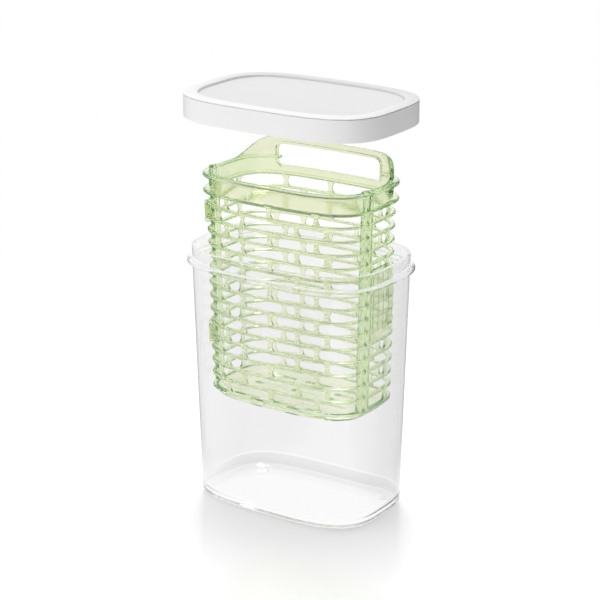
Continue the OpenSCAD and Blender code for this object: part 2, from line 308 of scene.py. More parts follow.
# %% Measures of the basket
BASKET_CLEARANCE = 7.3
BASKET_LEAN = 3.3
BASKET_WALL = 1.8
BAND_REACH = 3.6
RIB_REACH = 1.8
RIB_THICKNESS = 1.8
ROWS = 15
BAND_HEIGHT = 14.4
LOWEST_RIB = 6.0
TOP_RIB_DROP = 2.0
SEAM = -14.0
SEAM_GAP = 0.12
rib_a, rib_b = neck_a - BASKET_CLEARANCE, neck_b - BASKET_CLEARANCE
basket_base = front_low[2]
basket_height = front_high[2] - basket_base
handle_top = back_high[2] - basket_base
top_rib = basket_height - TOP_RIB_DROP
band_rib = basket_height - BAND_HEIGHT + RIB_THICKNESS / 2
rib_pitch = (band_rib - LOWEST_RIB) / ROWS
lean_slope = BASKET_LEAN / (top_rib - LOWEST_RIB)
lean_angle = math.atan(lean_slope)
wall_inset = BAND_REACH
rib_inset = BAND_REACH - RIB_REACH
wall_middle = BAND_REACH + BASKET_WALL / 2
rib_levels = band_rib - rib_pitch * np.arange(ROWS + 1)


def drawn_in(z):
    """How far the lean has drawn the basket in at a height above its underside."""
    return (top_rib - np.minimum(z, top_rib)) * lean_slope


def half_span(b, front):
    """First and last angle of a half, where an outline of half depth b crosses the seam plane:
    the sine of the angle is the crossing's share of b to the power squareness / 2."""
    share = (SEAM - SEAM_GAP if front else SEAM + SEAM_GAP) / b
    cut = np.arcsin(np.sign(share) * np.abs(share) ** (SQUARENESS / 2))
    return (np.pi - cut, 2 * np.pi + cut) if front else (cut, np.pi - cut)


def wall_sweep(inset, height, front, shares):
    """Grid of a profile carried round a half: inset from the rib line and height above the
    underside give each point its own outline, and the shares step along it from seam to seam."""
    a, b = rib_a - drawn_in(height) - inset, rib_b - drawn_in(height) - inset
    first, last = half_span(b, front)
    x, y = superellipse(a, b, first + (last - first) * shares)
    return np.stack(np.broadcast_arrays(x, y, basket_base + height), axis=-1)


def path_shares(front, count):
    """Shares of the way round a half that give even steps along the middle of the wall."""
    a, b = rib_a - wall_inset, rib_b - wall_inset
    first, last = half_span(b, front)
    return ((even_angles(a, b, first, last, count) - first) / (last - first))[:, None]


PATH_STEPS = {True: 100, False: 124}
shares = {front: path_shares(front, PATH_STEPS[front]) for front in (True, False)}
print(f"{ROWS + 2} ribs, {rib_pitch:.1f} mm apart, leaning {math.degrees(lean_angle):.2f} degrees")

# %% [markdown]
# The ribs stand out past the wall with rounded tips, the two of the band further than the rest. All
# of them go into one mesh, as separate shells, because none touches another.

# %% Ribs and band
RIB_CORNER = 0.62
BAND_CORNER = 0.8


def ribs(front):
    """Every rib of a half: a rounded rectangle as deep as wall and fin, swept at each level."""
    levels = np.concatenate([[top_rib], rib_levels])[:, None, None]
    tip = np.where(levels >= band_rib, 0, rib_inset)
    depth = wall_inset + BASKET_WALL - tip
    inset, rise = rounded_rectangle(depth, RIB_THICKNESS, RIB_CORNER)
    return skin("ribs", wall_sweep(tip + depth / 2 - inset, levels + rise, front, shares[front]))


HANDLE_LENGTH = 80.0
HANDLE_BAR = 5.5
SHOULDER_BEND = 3.5
shoulder_end = rib_a - wall_middle


def handle_edge(x):
    """Height of the handle's top edge: level over the middle, then a fall to the band that grows
    with a power of the distance along each shoulder."""
    u = np.clip((np.abs(x) - HANDLE_LENGTH / 2) / (shoulder_end - HANDLE_LENGTH / 2), 0, 1)
    return handle_top - (handle_top - basket_height) * u ** SHOULDER_BEND


def band(front):
    """Closed band above the openings: a tall rounded rectangle swept round the half. On the back
    half its upper edge follows the handle."""
    bottom = band_rib - RIB_THICKNESS / 2
    top = np.full_like(shares[front], basket_height)
    if not front:
        line = wall_sweep(np.array([wall_middle]), np.array([basket_height]), front, shares[front])
        top = handle_edge(line[..., 0])
    inset, rise = rounded_rectangle(BASKET_WALL, top - bottom, BAND_CORNER)
    return skin("band", wall_sweep(wall_middle - inset, (top + bottom) / 2 + rise, front, shares[front]))


print(f"band {BAND_HEIGHT:.1f} mm tall, handle {handle_top - basket_height:.1f} mm above it")

# %% [markdown]
# A bar is narrow at its waist and spreads where it runs into the ribs, which gives each opening its
# rounded corners. Rows take turns between two patterns. All the bars of a half are worked out at
# once: one axis of the array counts bars, one runs up the bar and one goes round its section.

# %% Bars between the openings
BAR_WAIST = 3.2
BAR_FOOT = 6.4
BAR_SINK = 0.25
BAR_FLARE = 2.6
BAR_CORNER = 0.45
EVEN_BARS = np.array([-0.58, 0, 0.58])
ODD_BARS = np.array([-0.69, -0.35, 0.35, 0.69])
END_BAR = 0.33
BAR_STEPS = 13


def bar_places(front):
    """Places of the bars of a half: x and y on the wall line, the middle height of the row, and the
    half length and half depth of the wall line there."""
    places = []
    for row in range(ROWS):
        z = (rib_levels[row] + rib_levels[row + 1]) / 2
        a, b = rib_a - drawn_in(z) - wall_inset, rib_b - drawn_in(z) - wall_inset
        x = (rib_a - wall_inset) * (EVEN_BARS if row % 2 == 0 else ODD_BARS)
        y = (-1 if front else 1) * length_at(x, b, a)
        if row % 2 == 0 and not front:
            end_y = np.full(2, END_BAR * rib_b)
            x = np.concatenate([x, length_at(end_y, a, b) * [-1, 1]])
            y = np.concatenate([y, end_y])
        row_values = [np.full_like(x, value) for value in (z, a, b)]
        places.append(np.stack([x, y, *row_values], axis=-1))
    return np.vstack(places)


def bars(front):
    """Waisted bars: rounded rectangles stacked between two ribs, whose width grows from the waist
    with a power of the distance from it, set along the tangent and normal of the wall."""
    x, y, z, a, b = (v[:, None, None] for v in bar_places(front).T)
    nx = np.sign(x) * np.abs(x / a) ** (SQUARENESS - 1) / a
    ny = np.sign(y) * np.abs(y / b) ** (SQUARENESS - 1) / b
    size = np.hypot(nx, ny)
    nx, ny = nx / size, ny / size
    up = np.linspace(-1, 1, BAR_STEPS)[:, None]
    clear = (rib_pitch - RIB_THICKNESS) / rib_pitch
    flare = np.clip(np.abs(up) / clear, 0, 1) ** BAR_FLARE
    width = BAR_WAIST + (BAR_FOOT - BAR_WAIST) * flare
    along, through = rounded_rectangle(width, BASKET_WALL - 2 * BAR_SINK, BAR_CORNER)
    rise = up * rib_pitch / 2
    lean_out = rise * lean_slope
    inward = BASKET_WALL / 2 + through - lean_out
    grid = np.broadcast_arrays(
        x - ny * along - nx * inward, y + nx * along - ny * inward, basket_base + z + rise)
    return skin("bars", np.stack(grid, axis=-1))


print(len(bar_places(True)), "bars in the front half,", len(bar_places(False)), "in the back half")

# %% [markdown]
# Beside the seam each half ends in an upright post, as deep as the ribs. The floor is a shallow pan
# with slots, so that water drains from the stems. It is drawn whole, then cut to the half.

# %% Posts and pan
POST_WIDTH = 4.6
POST_CORNER = 0.7
POST_RISE = {True: 1.2, False: -0.4}
POST_FOOT = 0.7
POST_STEPS = 12
POST_CAP = 0.8
CAP_TRIM = [0.1, 0.35, 0.8]
CAP_DROP = np.array([0.4, 0.15, 0.0])
SINK = 0.1
PAN_EDGE = 5.0
PAN_FLOOR = 1.8
PAN_STEPS = 8
CUT_BELOW, CUT_ABOVE = 5.0, 20.0
FLOOR_SLOT = 4.0
SLOT_FLAT = 0.05
SLOT_ROWS = {True: (-16, -8), False: (9, 19, 29, 39)}
SLOT_COLUMNS = (-1, 0, 1)
SLOT_SPREAD = 0.45
SLOT_SPAN = 0.33


def post(front, side):
    """Upright post: a rounded rectangle in depth and inset, stacked up the leaning end wall and
    trimmed in steps at its rounded top, which stands a little above the band on the front half."""
    depth = RIB_REACH + BASKET_WALL - SINK
    top = basket_height + POST_RISE[front]
    straight = np.linspace(LOWEST_RIB - POST_FOOT, top - POST_CAP, POST_STEPS)
    trim = np.concatenate([np.zeros(POST_STEPS), CAP_TRIM])[:, None]
    z = np.concatenate([straight, top - CAP_DROP])[:, None]
    across, inset = rounded_rectangle(POST_WIDTH - SEAM_GAP - 2 * trim, depth - 2 * trim, POST_CORNER)
    y = SEAM + (-1 if front else 1) * (SEAM_GAP + POST_WIDTH) / 2 + across
    draw = drawn_in(z) + rib_inset + depth / 2 + inset
    x = side * length_at(y, rib_a - draw, rib_b - draw)
    return skin("post", np.stack(np.broadcast_arrays(x, y, basket_base + z), axis=-1))


def block(name, low, high):
    """Box between two corners, as two rings of four points."""
    x = np.array([low[0], high[0], high[0], low[0]])
    y = np.array([low[1], low[1], high[1], high[1]])
    z = np.array([low[2], high[2]])[:, None]
    return skin(name, np.stack(np.broadcast_arrays(x, y, z), axis=-1))


def pan(front):
    """Floor of a half: a dish lofted through outlines, less the other half and the slots."""
    a = rib_a - drawn_in(LOWEST_RIB) - wall_inset
    b = rib_b - drawn_in(LOWEST_RIB) - wall_inset
    under = base_curve((PAN_EDGE, LOWEST_RIB), ELLIPSE, PAN_STEPS)
    inside = base_curve((PAN_EDGE, LOWEST_RIB - PAN_FLOOR), ELLIPSE, PAN_STEPS)
    inside = inside[::-1] + [BASKET_WALL - SINK, PAN_FLOOR]
    inset, z = np.vstack([under, inside]).T
    dish = loft("dish", a - inset, b - inset, basket_base + z, around)
    far = 2 * neck_a
    edge = SEAM - SEAM_GAP if front else SEAM + SEAM_GAP
    low_y, high_y = (edge, far) if front else (-far, edge)
    low, high = (-far, low_y, basket_base - CUT_BELOW), (far, high_y, basket_base + CUT_ABOVE)
    cuts = [block("other_half", low, high)]
    u, v = rounded_rectangle(SLOT_SPAN * rib_a, FLOOR_SLOT, FLOOR_SLOT / 2 - SLOT_FLAT, steps=6)
    z = basket_base + np.array([-CUT_BELOW, CUT_BELOW])[:, None]
    for y in SLOT_ROWS[front]:
        for column in SLOT_COLUMNS:
            ring = np.broadcast_arrays(column * SLOT_SPREAD * rib_a + u, SEAM + y + v, z)
            cuts.append(skin("floor_slot", np.stack(ring, axis=-1)))
    return melt("pan", dish, ("DIFFERENCE", cuts))


print("slots in the floor", {half: len(rows) * len(SLOT_COLUMNS) for half, rows in SLOT_ROWS.items()})

# %% [markdown]
# ## Handle, hinges and latch
# The back half rises into a handle with a finger slot, and a bead runs round the slot. A bevel on the
# cut edge would give a bead too, but not one that stands out on both faces, so a small section is
# carried round the slot instead.

# %% Finger slot
SLOT_LENGTH = 86.0
SLOT_HEIGHT = 15.5
SLOT_CORNER = 4.0
SLOT_RIM = 1.8
SLOT_THROUGH = np.array([0.5, 1.5])[:, None]
RIM_LIFT = 0.7
BEAD_CORNER = 0.7
BEAD_STEPS = 200
slot_middle = handle_top - HANDLE_BAR - SLOT_HEIGHT / 2


def slot_cutter():
    """Rounded rectangle seen from behind, carried through the back wall."""
    x, z = rounded_rectangle(SLOT_LENGTH, SLOT_HEIGHT, SLOT_CORNER, steps=8)
    grid = np.broadcast_arrays(x, SLOT_THROUGH * rib_b, basket_base + slot_middle + z)
    return skin("slot_cutter", np.stack(grid, axis=-1))


def even_loop(x, y, count):
    """Closed line through points, drawn again in even steps: its length is inverted by interpolation."""
    x, y = np.append(x, x[0]), np.append(y, y[0])
    length = np.concatenate([[0], np.cumsum(np.hypot(np.diff(x), np.diff(y)))])
    at = np.linspace(0, length[-1], count, endpoint=False)
    return np.interp(at, length, x), np.interp(at, length, y)


def slot_bead():
    """Bead round the slot: at each point of the slot's outline, a small rounded rectangle set out
    along the outline's own normal and through the thickness of the curved wall."""
    wide, tall = SLOT_LENGTH + SLOT_RIM - SINK, SLOT_HEIGHT + SLOT_RIM - SINK
    x, z = even_loop(*rounded_rectangle(wide, tall, SLOT_CORNER + SLOT_RIM / 2, steps=10), BEAD_STEPS)
    tangent = np.stack([np.roll(x, -1) - np.roll(x, 1), np.roll(z, -1) - np.roll(z, 1)])
    tangent /= np.linalg.norm(tangent, axis=0)
    out, through = rounded_rectangle(SLOT_RIM, BASKET_WALL + 2 * RIM_LIFT, BEAD_CORNER)
    x, z, along_x, along_z = (v[:, None] for v in (x, z, *tangent))
    y = length_at(x, rib_b - wall_middle, rib_a - wall_middle) + through
    grid = np.broadcast_arrays(x + along_z * out, y, basket_base + slot_middle + z - along_x * out)
    return skin("slot_bead", np.stack(grid, axis=-1), wrap_rows=True)


print(f"finger slot {SLOT_LENGTH:.0f} by {SLOT_HEIGHT:.1f} mm")

# %% [markdown]
# The halves turn on two short hinges at the left end. A knuckle on the front half sits between two
# lugs of the back half, on a pin that is moulded in one with the lugs. All of these are turned about
# the leaning hinge line, so one helper places them along it.

# %% Hinges
KNUCKLE_RADIUS = 2.3
PIN_RADIUS = 1.2
HINGE_LENGTH = 15.5
LUG_THICKNESS = 2.4
LUG_CORNER = 0.3
LUG_SLIM = 0.2
LUG_SINK = 1.3
HINGE_SET = 2.0
HINGE_OUT = 0.6 * KNUCKLE_RADIUS
LUG_LENGTH = HINGE_OUT + rib_inset + LUG_SINK
KNUCKLE_ROOT = KNUCKLE_RADIUS + 1.0
BARREL_EDGE = 0.4
FINE_EDGE = 0.1
EDGE_ROUNDING = 0.3
BARREL_POINTS = 28
FIT_GAP = 0.3
HINGE_LEVELS = (0.254, 0.798)
hinge_y = SEAM - HINGE_SET


def on_hinge(level, along, x, y):
    """Point of a hinge, from its place along the leaning hinge line and its offsets across it, both
    turned by the angle of the lean."""
    z = level * basket_height
    axis_x = drawn_in(z) - length_at(hinge_y, rib_a, rib_b) - HINGE_OUT
    return np.stack(np.broadcast_arrays(
        axis_x + x * math.cos(lean_angle) - along * math.sin(lean_angle),
        hinge_y + y,
        basket_base + z + x * math.sin(lean_angle) + along * math.cos(lean_angle),
    ), axis=-1)


def turned(level, along, radius):
    """Shape turned about the hinge line: a radius at each place along it."""
    turn = full_turn(BARREL_POINTS)
    along, radius = np.asarray(along, float)[:, None], np.asarray(radius, float)[:, None]
    return skin("turned", on_hinge(level, along, radius * np.cos(turn), radius * np.sin(turn)))


def barrel(level, middle, length, radius, edge=BARREL_EDGE):
    """Round barrel with softened ends: three rings step in at each end, over the width of the edge."""
    half = length / 2
    step = EDGE_ROUNDING * edge
    along = middle + np.array([-half, -half + step, -half + edge, half - edge, half - step, half])
    return turned(level, along, radius - edge * np.array([1, EDGE_ROUNDING, 0, 0, EDGE_ROUNDING, 1]))


def lug_block(level, middle, length, low_y, high_y, margin=0.0):
    """Short block that joins a barrel to the post beside it: a rounded rectangle along the hinge line."""
    reach = LUG_LENGTH + margin
    x, y = rounded_rectangle(reach, high_y - low_y, LUG_CORNER)
    along = middle + length / 2 * np.array([-1.0, 1.0])[:, None]
    return skin("lug_block", on_hinge(level, along, x + reach / 2, y + (low_y + high_y) / 2))


lug_places = [side * (HINGE_LENGTH - LUG_THICKNESS) / 2 for side in (-1, 1)]
knuckle_length = HINGE_LENGTH - 2 * LUG_THICKNESS - 2 * FIT_GAP


def knuckles():
    """Barrels and blocks of the front half."""
    return [part for level in HINGE_LEVELS for part in (
        barrel(level, 0, knuckle_length, KNUCKLE_RADIUS),
        lug_block(level, 0, knuckle_length, -KNUCKLE_ROOT, 0),
    )]


def lugs(margin=0.0):
    """Pins, lugs and their blocks on the back half, grown by a margin."""
    thick = LUG_THICKNESS + 2 * margin
    parts = []
    for level in HINGE_LEVELS:
        parts.append(barrel(level, 0, HINGE_LENGTH - LUG_THICKNESS, PIN_RADIUS + margin, FINE_EDGE))
        for place in lug_places:
            parts.append(barrel(level, place, thick, KNUCKLE_RADIUS + margin))
            parts.append(lug_block(level, place, thick - LUG_SLIM, 0, POST_WIDTH, margin))
    return parts


def knuckle_rooms():
    """Room that each knuckle turns in, cut from the back half."""
    length = HINGE_LENGTH - 2 * LUG_THICKNESS
    return [barrel(level, 0, length, KNUCKLE_RADIUS + FIT_GAP, FINE_EDGE) for level in HINGE_LEVELS]


print(len(HINGE_LEVELS), "hinges, knuckles", round(knuckle_length, 1), "mm long")

# %% [markdown]
# A grooved plate at the right end springs over the seam and holds the halves shut. It is a rounded
# rectangle, trimmed in steps towards its face, with upright grips standing out of it.

# %% Latch plate
LATCH_HEIGHT = 51.0
LATCH_WIDTH = 31.0
LATCH_THICKNESS = 1.6
LATCH_COVER = 0.3
LATCH_CORNER = 6.5
LATCH_LEVEL = 0.5
LATCH_OUT = np.array([-LATCH_THICKNESS, -0.4, -0.12, 0.0])[:, None]
LATCH_TRIM = np.array([0.0, 0.0, 0.12, 0.5])[:, None]
GRIPS = 4
GRIP_RADIUS = 0.9
GRIP_SINK = 0.55
GRIP_FIRST, GRIP_ROOM = 0.9, 0.8
GRIP_MARGIN = 4.0
GRIP_POINTS, GRIP_STEPS = 16, 25
GRIP_BLUNTNESS = 16
GRIP_TIP = 0.02


def on_latch(out, y, z):
    """Point of the latch: out from the plate's face, from the seam and up from its middle, on the
    leaning right end."""
    middle = LATCH_LEVEL * basket_height
    face = rib_a - rib_inset - drawn_in(middle) + LATCH_COVER
    return np.stack(np.broadcast_arrays(
        face + out * math.cos(lean_angle) + z * math.sin(lean_angle),
        SEAM + SEAM_GAP + y,
        basket_base + middle - out * math.sin(lean_angle) + z * math.cos(lean_angle),
    ), axis=-1)


def latch():
    """Plate with rounded corners and trimmed edges, and upright grips: round rods whose radius is
    the root of one minus a high power of the place along them, so that their ends are round."""
    width, height = LATCH_WIDTH - 2 * LATCH_TRIM, LATCH_HEIGHT - 2 * LATCH_TRIM
    y, z = rounded_rectangle(width, height, LATCH_CORNER, steps=8)
    parts = [skin("latch_plate", on_latch(LATCH_OUT, LATCH_WIDTH / 2 + y, z))]
    turn = full_turn(GRIP_POINTS)
    rise = np.linspace(-1, 1, GRIP_STEPS)[:, None]
    radius = GRIP_RADIUS * (1 - np.abs(rise) ** GRIP_BLUNTNESS) ** 0.5 + GRIP_TIP
    out, aside = radius * np.cos(turn) - GRIP_SINK, radius * np.sin(turn)
    reach = LATCH_HEIGHT / 2 - GRIP_MARGIN
    for grip in range(GRIPS):
        across = LATCH_WIDTH * (grip + GRIP_FIRST) / (GRIPS + GRIP_ROOM)
        parts.append(skin("grip", on_latch(out, across + aside, reach * rise)))
    return parts


print(f"latch plate {LATCH_WIDTH:.0f} by {LATCH_HEIGHT:.0f} mm with {GRIPS} grips")

# %% [markdown]
# Now each half is melted together. The band is the base, the other parts join it, and room is cut for
# the hinge before the pins and lugs go in, so that the halves never touch.

# %% The two halves of the basket


def half_parts(front):
    """What the two halves have in common, apart from the band."""
    return [ribs(front), bars(front), pan(front)] + [post(front, side) for side in (-1, 1)]


front_mesh = melt(
    "basket_front_half", band(True),
    ("UNION", half_parts(True) + knuckles()),
    ("DIFFERENCE", lugs(FIT_GAP)),
)
back_mesh = melt(
    "basket_back_half", band(False),
    ("UNION", half_parts(False) + latch()),
    ("DIFFERENCE", [slot_cutter()] + knuckle_rooms()),
    ("UNION", [slot_bead()] + lugs()),
)
print("front half", len(front_mesh.polygons), "faces, back half", len(back_mesh.polygons), "faces")

# %% [markdown]
# ## The lid
# The lid is a shallow cap with a deep skirt, a fine groove just under its edge, a slightly domed
# border and a panel sunk inside the border. It could be a block with insets and bevels, but one profile
# is enough again: from the ceiling down the inside of the skirt, round its lower edge, up the outside,
# over the border and down to the panel. A tone for the material is kept with each point. On the border
# it is a painted highlight at the front that falls to painted shade at the back, and on the foot of the
# panel's step it is painted shade.

# %% The lid's skin
LID_WALL = 1.8
BORDER_WIDTH = 9.5
BORDER_DOME = 0.8
BORDER_CREST = 4.6
PANEL_DEPTH = 1.8
PANEL_GROOVE = 0.6
GROOVE_DEPTH = 1.4
GROOVE_HEIGHT = 0.5
EDGE_HEIGHT = 0.35
LID_ROUNDING = [1.5, 0.5, 0.6, 0.15, 0.1, 0.1, 0.12, 0.2, 2.5, 0.4, 0.15, 0.3]
CEILING_RUN = 6.0
PANEL_RUN = 4.0
EDGE_INSET = (0.03, 0.08)
SHOULDER_INSET, FOOT_INSET, PANEL_INSET = BORDER_WIDTH - 0.9, BORDER_WIDTH - 0.4, BORDER_WIDTH + 0.3
SHOULDER_DROP = 0.5 * BORDER_DOME
GROOVE_START = 0.2
FOOT_HALF = 0.3
CEILING_ROOM = 0.5
LEVEL_SLACK = 0.1
# Border tones are painted light: a highlight at the front that falls to shade at the back.
BORDER_HIGHLIGHT_TO_SHADE = (1.0, 0.76)
SKIRT_TONE = 0.955
PANEL_TONE = 0.82
GROOVE_TONE = 1.0
# The foot line's tone is painted shade in the panel's step.
FOOT_PAINTED_SHADE = 0.66
lid_base = lid_low[2]
crown = lid_high[2] - lid_base
panel_top = crown - PANEL_DEPTH
skirt_inset = FLANGE_REACH + LID_OVERHANG - 2 * FIT_GAP


def lid_skin():
    """Profile as inset from the outer edge and height above the skirt's lower edge, with every
    corner softened, carried round the outline. Each point also gets a tone for the material: the
    border's is a painted highlight at the front falling to painted shade at the back, the foot line's
    is painted shade, and skirt, panel and groove have their own."""
    ceiling = panel_top - LID_WALL
    edge = crown - BORDER_DOME
    groove_top = edge - EDGE_HEIGHT
    groove_bottom = groove_top - GROOVE_HEIGHT
    line = softened(
        [
            [skirt_inset + CEILING_RUN, ceiling], [skirt_inset, ceiling], [skirt_inset, 0], [0, 0],
            [0, groove_bottom], [GROOVE_DEPTH, groove_bottom], [GROOVE_DEPTH, groove_top],
            [EDGE_INSET[0], groove_top], [EDGE_INSET[1], edge], [BORDER_CREST, crown],
            [SHOULDER_INSET, crown - SHOULDER_DROP], [FOOT_INSET, panel_top - PANEL_GROOVE],
            [PANEL_INSET, panel_top], [BORDER_WIDTH + PANEL_RUN, panel_top],
        ],
        LID_ROUNDING,
    )
    inset, z = line.T
    mesh = loft("white_lid", lid_high[0] - inset, lid_high[1] - inset, lid_base + z, around)
    # The border's tone: painted highlight at the front, painted shade at the back.
    to_back = (superellipse(1, 1, around)[1] + 1) / 2
    border_highlight_to_shade = BORDER_HIGHLIGHT_TO_SHADE[0] + (BORDER_HIGHLIGHT_TO_SHADE[1] - BORDER_HIGHLIGHT_TO_SHADE[0]) * to_back
    inset, z = inset[:, None], z[:, None]
    groove_level = (z > groove_bottom - LEVEL_SLACK) & (z < groove_top + LEVEL_SLACK)
    in_groove = (inset > GROOVE_START) & (inset <= GROOVE_DEPTH) & groove_level
    # The foot of the panel's step gets painted shade.
    in_foot = (z < panel_top + LEVEL_SLACK) & (np.abs(inset - FOOT_INSET) < FOOT_HALF)
    on_panel = (inset > BORDER_WIDTH) & (z > ceiling + CEILING_ROOM)
    on_skirt = z < groove_bottom + LEVEL_SLACK
    places = [in_groove, in_foot, on_panel, on_skirt]
    tone = np.select(places, [GROOVE_TONE, FOOT_PAINTED_SHADE, PANEL_TONE, SKIRT_TONE], border_highlight_to_shade)
    kept = mesh.attributes.new("tone", "FLOAT", "POINT")
    kept.data.foreach_set("value", tone.ravel())
    return mesh


lid_mesh = lid_skin()
print("lid", len(lid_mesh.polygons), "faces")

# %% [markdown]
# ## Finishes
# All three plastics are moulded, so all three carry the faint unevenness of a mould: a very shallow
# ripple and a gloss that varies a little. That is one node group, placed in each material with its
# own values. Materials, light and floor are all wired from the same few steps, so those come first.

# %% Steps for wiring nodes


def feed(tree, socket, source):
    """Gives a socket its source: the output of another node, or a constant."""
    if isinstance(source, bpy.types.NodeSocket):
        tree.links.new(source, socket)
    else:
        socket.default_value = source


def combine(tree, operation, *sources):
    """Math node on one to three sources, given by its output."""
    step = tree.nodes.new("ShaderNodeMath")
    step.operation = operation
    for socket, source in zip(step.inputs, sources):
        feed(tree, socket, source)
    return step.outputs[0]


def blend(tree, factor, first, second, kind="FLOAT"):
    """Mix of two numbers or two colours: the first where the factor is 0, the second where it is 1."""
    step = tree.nodes.new("ShaderNodeMix")
    step.data_type = kind
    for name, source in (("Factor", factor), ("A", first), ("B", second)):
        feed(tree, step.inputs[name], source)
    return step.outputs["Result"]


def measured(tree, vector, direction):
    """How far a vector goes in a direction: the dot product of the two."""
    step = tree.nodes.new("ShaderNodeVectorMath")
    step.operation = "DOT_PRODUCT"
    feed(tree, step.inputs[0], vector)
    feed(tree, step.inputs[1], direction)
    return step.outputs["Value"]


def ramp(tree, source, reach, values):
    """Smooth step between two values as the source passes through a reach."""
    step = tree.nodes.new("ShaderNodeMapRange")
    step.interpolation_type = "SMOOTHSTEP"
    step.inputs["From Min"].default_value, step.inputs["From Max"].default_value = reach
    step.inputs["To Min"].default_value, step.inputs["To Max"].default_value = values
    feed(tree, step.inputs["Value"], source)
    return step.outputs["Result"]


print("wiring steps", [step.__name__ for step in (feed, combine, blend, measured, ramp)])

# %% Group for a moulded surface
SURFACE_SETTINGS = {
    "Roughness": 0.3, "Variation": 0.05, "Ripple Scale": 40.0, "Grain Scale": 900.0, "Grain Share": 0.1,
}
NOISE_DETAIL = {"Ripple": 1.0, "Grain": 3.0}
NOISE_MIDDLE = 0.5


def moulded_surface():
    """Noise in object coordinates: a broad one moves the roughness about its middle, and the broad
    and a fine one together raise a shallow bump."""
    group = bpy.data.node_groups.new("moulded_surface", "ShaderNodeTree")
    for name, value in SURFACE_SETTINGS.items():
        socket = group.interface.new_socket(name, in_out="INPUT", socket_type="NodeSocketFloat")
        socket.default_value = value
    for name in ("Roughness", "Height"):
        group.interface.new_socket(name, in_out="OUTPUT", socket_type="NodeSocketFloat")
    given = group.nodes.new("NodeGroupInput").outputs
    made = group.nodes.new("NodeGroupOutput").inputs
    place = group.nodes.new("ShaderNodeTexCoord").outputs["Object"]
    noise = {}
    for name, detail in NOISE_DETAIL.items():
        texture = group.nodes.new("ShaderNodeTexNoise")
        feed(group, texture.inputs["Vector"], place)
        feed(group, texture.inputs["Scale"], given[name + " Scale"])
        feed(group, texture.inputs["Detail"], detail)
        noise[name] = texture.outputs["Fac"]
    centred = combine(group, "SUBTRACT", noise["Ripple"], NOISE_MIDDLE)
    rough = combine(group, "MULTIPLY_ADD", centred, given["Variation"], given["Roughness"])
    feed(group, made["Roughness"], rough)
    feed(group, made["Height"], blend(group, given["Grain Share"], noise["Ripple"], noise["Grain"]))
    return group


surface_group = moulded_surface()
print("node group", surface_group.name, "with", len(surface_group.nodes), "nodes")

# %% [markdown]
# The clear and the green plastic bend light and take some of it away per metre, so a thin face looks
# nearly clear and a rib seen along its length looks deep green. A tint on the surface adds to that.
# The clear one is untinted at the floor and faintly grey above it, and carries painted shade towards
# the back, most of all over the curve of the base, with a thin painted highlight where that curve
# meets the wall. The green one runs from pale low down to darker and yellower on the handle, and
# carries painted shade at the ends, which are greener and darker. The white plastic is opaque, and
# its shade follows the tone that was kept with the points of the lid, painted highlight and shade
# included.

# %% The three plastics
PLASTIC_IOR = 1.49
DENSITY_MARGIN = 1.02
FINE_BUMP, SATIN_BUMP = 0.00002, 0.00003
CLEAR_ABSORBED = (0.8, 0.75, 0.75)
GREEN_ABSORBED = (20.0, 5.0, 23.0)
GREEN_CLOUD = 0.02
FULL_WHITE = 0.975
CLEAR_BASE = (1.0, 1.0, 1.0)
CLEAR_FRONT = (0.985, 0.983, 0.985)
# Painted shade on the clear plastic: greyer at the back, darker still on the curve of the base.
CLEAR_BACK_SHADE = (0.915, 0.913, 0.915)
CLEAR_CURVE_SHADE = (0.84, 0.84, 0.84)
CLEAR_LOW_SHADE = (0.77, 0.77, 0.77)
BACK_REACH = (-0.03, 0.03)
END_REACH = (0.05, 0.062)
CLEAR_STOPS = [(0.0, CLEAR_BASE), (3.1, CLEAR_BASE), (5.0, CLEAR_FRONT), (190.0, CLEAR_FRONT)]
# Back stops: painted shade on the curve of the base, a thin painted highlight where it meets the wall,
# painted shade above.
PAINTED_BACK_STOPS = [
    (0.0, CLEAR_BASE), (3.1, CLEAR_BASE), (3.4, CLEAR_LOW_SHADE), (12.0, CLEAR_CURVE_SHADE), (12.4, CLEAR_BASE),
    (13.2, CLEAR_BASE), (13.8, CLEAR_BACK_SHADE), (190.0, CLEAR_BACK_SHADE),
]
GREEN_STOPS = [
    (75.0, (1.0, 1.0, 0.83)), (185.0, (0.94, 0.945, 0.73)),
    (235.0, (0.905, 0.915, 0.695)), (262.0, (0.885, 0.855, 0.685)),
]
# Painted shade at the ends: greener and darker than the front and back faces.
PAINTED_END_STOPS = [
    (75.0, (0.92, 0.965, 0.745)), (185.0, (0.88, 0.925, 0.68)),
    (235.0, (0.84, 0.895, 0.645)), (262.0, (0.825, 0.84, 0.635)),
]


def plastic(name, bump, **surface):
    """Material with a Principled BSDF whose roughness and normal come from the moulded surface."""
    material = bpy.data.materials.new(name)
    material.use_nodes = True
    tree = material.node_tree
    shader = tree.nodes["Principled BSDF"]
    group = tree.nodes.new("ShaderNodeGroup")
    group.node_tree = surface_group
    for key, value in surface.items():
        group.inputs[key.replace("_", " ").title()].default_value = value
    relief = tree.nodes.new("ShaderNodeBump")
    relief.inputs["Distance"].default_value = bump
    feed(tree, relief.inputs["Height"], group.outputs["Height"])
    feed(tree, shader.inputs["Roughness"], group.outputs["Roughness"])
    feed(tree, shader.inputs["Normal"], relief.outputs["Normal"])
    return material, shader


